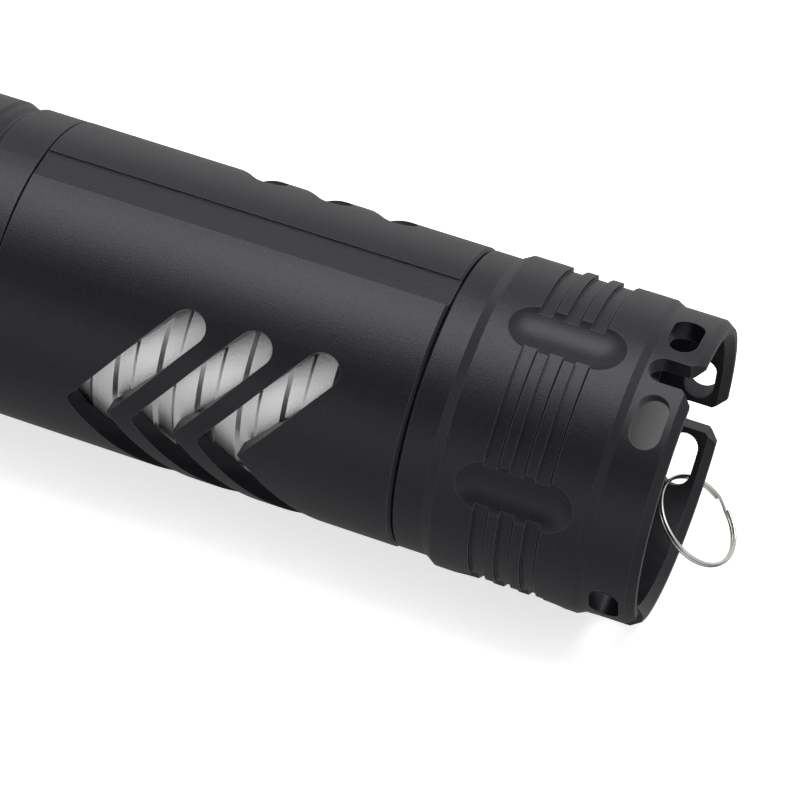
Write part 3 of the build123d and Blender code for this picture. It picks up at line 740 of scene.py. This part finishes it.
class TUBELIGHT_OT_split_ring(bpy.types.Operator):
    """Wind the split ring's wire"""

    bl_idname = "tubelight.split_ring"
    bl_label = "Split ring"

    def execute(self, context):
        sizes = context.scene.tube_light_sizes
        eye = MOUNTS["split_ring_eye"]
        pitch = sizes.wire * 1.02
        # degrees along the wire: where it steps up to the second turn, and its length
        jog_start, jog_end, wire_end = 340, 358, 700
        step = 3
        deselect()
        bpy.ops.mesh.primitive_circle_add(
            vertices=16,
            radius=sizes.wire / 2,
            fill_type="NGON",
            location=(sizes.ring_radius, 0, -pitch / 2),
            rotation=(math.pi / 2, 0, 0),
        )
        ring = name_piece("split_ring_coil")
        bpy.ops.object.transform_apply(location=True, rotation=True, scale=True)
        bpy.ops.object.mode_set(mode="EDIT")
        bpy.ops.mesh.select_all(action="SELECT")
        for angle in range(0, wire_end, step):
            bpy.ops.mesh.extrude_region_move()
            bpy.ops.transform.rotate(
                value=math.radians(-step), orient_axis="Z", center_override=(0, 0, 0)
            )
            if jog_start <= angle < jog_end:
                rise = pitch * step / (jog_end - jog_start)
                bpy.ops.transform.translate(value=(0, 0, rise))
        bpy.ops.object.mode_set(mode="OBJECT")
        normal = Vector(eye["axis"]).normalized()
        tilt = Vector((0, 0, 1)).rotation_difference(normal).to_matrix().to_4x4()
        turn = Matrix.Rotation(sizes.ring_start, 4, "Z")
        ring.matrix_world = Matrix.Translation(Vector(eye["pos_m"])) @ tilt @ turn
        settle(ring, plated_wire(), "split_ring", smooth=60.0)
        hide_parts("split_ring")
        return {"FINISHED"}


class TUBELIGHT_OT_stage(bpy.types.Operator):
    """Lay the floor, hang the lights and set the camera"""

    bl_idname = "tubelight.stage"
    bl_label = "Stage"

    def execute(self, context):
        self.floor()
        self.lights(context.scene)
        self.camera(context.scene)
        return {"FINISHED"}

    def floor(self):
        """A pale sweep under the light."""
        deselect()
        bpy.ops.mesh.primitive_plane_add(size=6.0, location=(CAD_HIGH[0], 0, CAD_LOW[2]))
        floor = name_piece("floor")
        paper = Finish("floor_paper", Emission_Strength=0.72)
        grain = paper.noise(700.0)
        tone = paper.mix(grain, colour(0.90, 0.90, 0.90), colour(0.93, 0.93, 0.93))
        floor.data.materials.append(
            paper.set(Base_Color=tone, Emission_Color=tone, Roughness=0.7 + 0.1 * grain)
        )
        floor.visible_glossy = False

    def lights(self, scene):
        """A soft box overhead, in a pale tent with a dark opening in front and dimmer below."""
        world = bpy.data.worlds.new("studio")
        world.use_nodes = True
        scene.world = world
        scene.view_settings.view_transform = "Standard"
        room = Nodes(world.node_tree)
        facing = room.node("ShaderNodeTexCoord", out="Generated")
        parts = room.node("ShaderNodeSeparateXYZ", None, facing)
        back = Socket(room, parts.source.node.outputs["Y"])
        height = Socket(room, parts.source.node.outputs["Z"])
        tent = height.smooth(-0.35, 0.1)
        front = back.smooth(0.0, -0.5) * height.smooth(0.52, 0.25)
        wall = back.smooth(0.25, 0.9) * height.smooth(0.55, 0.15)
        doorway = back.smooth(-0.25, -0.6) * height.smooth(0.35, 0.58)
        seen = room.node("ShaderNodeLightPath", out="Is Camera Ray")
        glow = (0.25 + 0.45 * tent + 0.25 * wall + 0.18 * front) * (1 - 0.85 * doorway)
        strength = glow + seen * (0.9 - glow)
        background = world.node_tree.nodes["Background"]
        room.plug(background.inputs["Color"], colour(1.0, 1.0, 1.0))
        room.plug(background.inputs["Strength"], strength)
        middle = Vector((CAD_HIGH[0] * 0.7, 0, 0))
        overhead = Vector((-0.05, 0.22, 1.0))
        lamp = bpy.data.lights.new("soft_box", "AREA")
        lamp.shape = "RECTANGLE"
        lamp.size, lamp.size_y = 1.3, 0.75
        lamp.energy = 10.0
        holder = bpy.data.objects.new("soft_box", lamp)
        scene.collection.objects.link(holder)
        holder.location = middle + overhead
        holder.rotation_euler = (-overhead).to_track_quat("-Z", "Y").to_euler()

    def camera(self, scene):
        """The camera, rolled a little, looking down on the rear half."""
        view = scene.tube_light_view
        lens = bpy.data.cameras.new("camera")
        lens.lens = view.focal_length
        lens.clip_start = 0.01
        camera = bpy.data.objects.new("camera", lens)
        scene.collection.objects.link(camera)
        tail = Vector((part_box("tail_cap")[1][0], 0, 0))
        flat = math.cos(view.elevation)
        back = Vector(
            (
                math.sin(view.azimuth) * flat,
                -math.cos(view.azimuth) * flat,
                math.sin(view.elevation),
            )
        )
        level = (-back).to_track_quat("-Z", "Y").to_matrix().to_4x4()
        roll = Matrix.Rotation(view.roll, 4, "Z")
        place = tail + Vector(view.aim) + back * view.distance
        camera.matrix_world = Matrix.Translation(place) @ level @ roll
        scene.camera = camera


class TUBELIGHT_PT_panel(bpy.types.Panel):
    """The sidebar panel that lists every step"""

    bl_idname = "TUBELIGHT_PT_panel"
    bl_label = "Tube light"
    bl_space_type = "VIEW_3D"
    bl_region_type = "UI"
    bl_category = "Tube light"

    def draw(self, context):
        for group in ("tube_light_finish", "tube_light_sizes", "tube_light_view"):
            settings = getattr(context.scene, group)
            box = self.layout.box()
            for name in settings.bl_rna.properties.keys():
                if name not in ("rna_type", "name"):
                    box.prop(settings, name)
        for step in STEPS:
            self.layout.operator(step.bl_idname)


STEPS = (
    TUBELIGHT_OT_stage,
    TUBELIGHT_OT_black_parts,
    TUBELIGHT_OT_tube,
    TUBELIGHT_OT_cell,
    TUBELIGHT_OT_electronics,
    TUBELIGHT_OT_optics,
    TUBELIGHT_OT_boot,
    TUBELIGHT_OT_split_ring,
)
GROUPS = {
    "tube_light_finish": TubeLightFinish,
    "tube_light_sizes": TubeLightSizes,
    "tube_light_view": TubeLightView,
}


def register():
    """Register the settings, the steps and the panel."""
    for name, group in GROUPS.items():
        bpy.utils.register_class(group)
        setattr(bpy.types.Scene, name, bpy.props.PointerProperty(type=group))
    for step in STEPS:
        bpy.utils.register_class(step)
    bpy.utils.register_class(TUBELIGHT_PT_panel)


def unregister():
    """Take everything off again, in the opposite order."""
    bpy.utils.unregister_class(TUBELIGHT_PT_panel)
    for step in reversed(STEPS):
        bpy.utils.unregister_class(step)
    for name, group in GROUPS.items():
        delattr(bpy.types.Scene, name)
        bpy.utils.unregister_class(group)


def main():
    """Run every step in order."""
    register()
    for step in STEPS:
        family, _, action = step.bl_idname.partition(".")
        getattr(getattr(bpy.ops, family), action)()


if __name__ == "__main__":
    main()
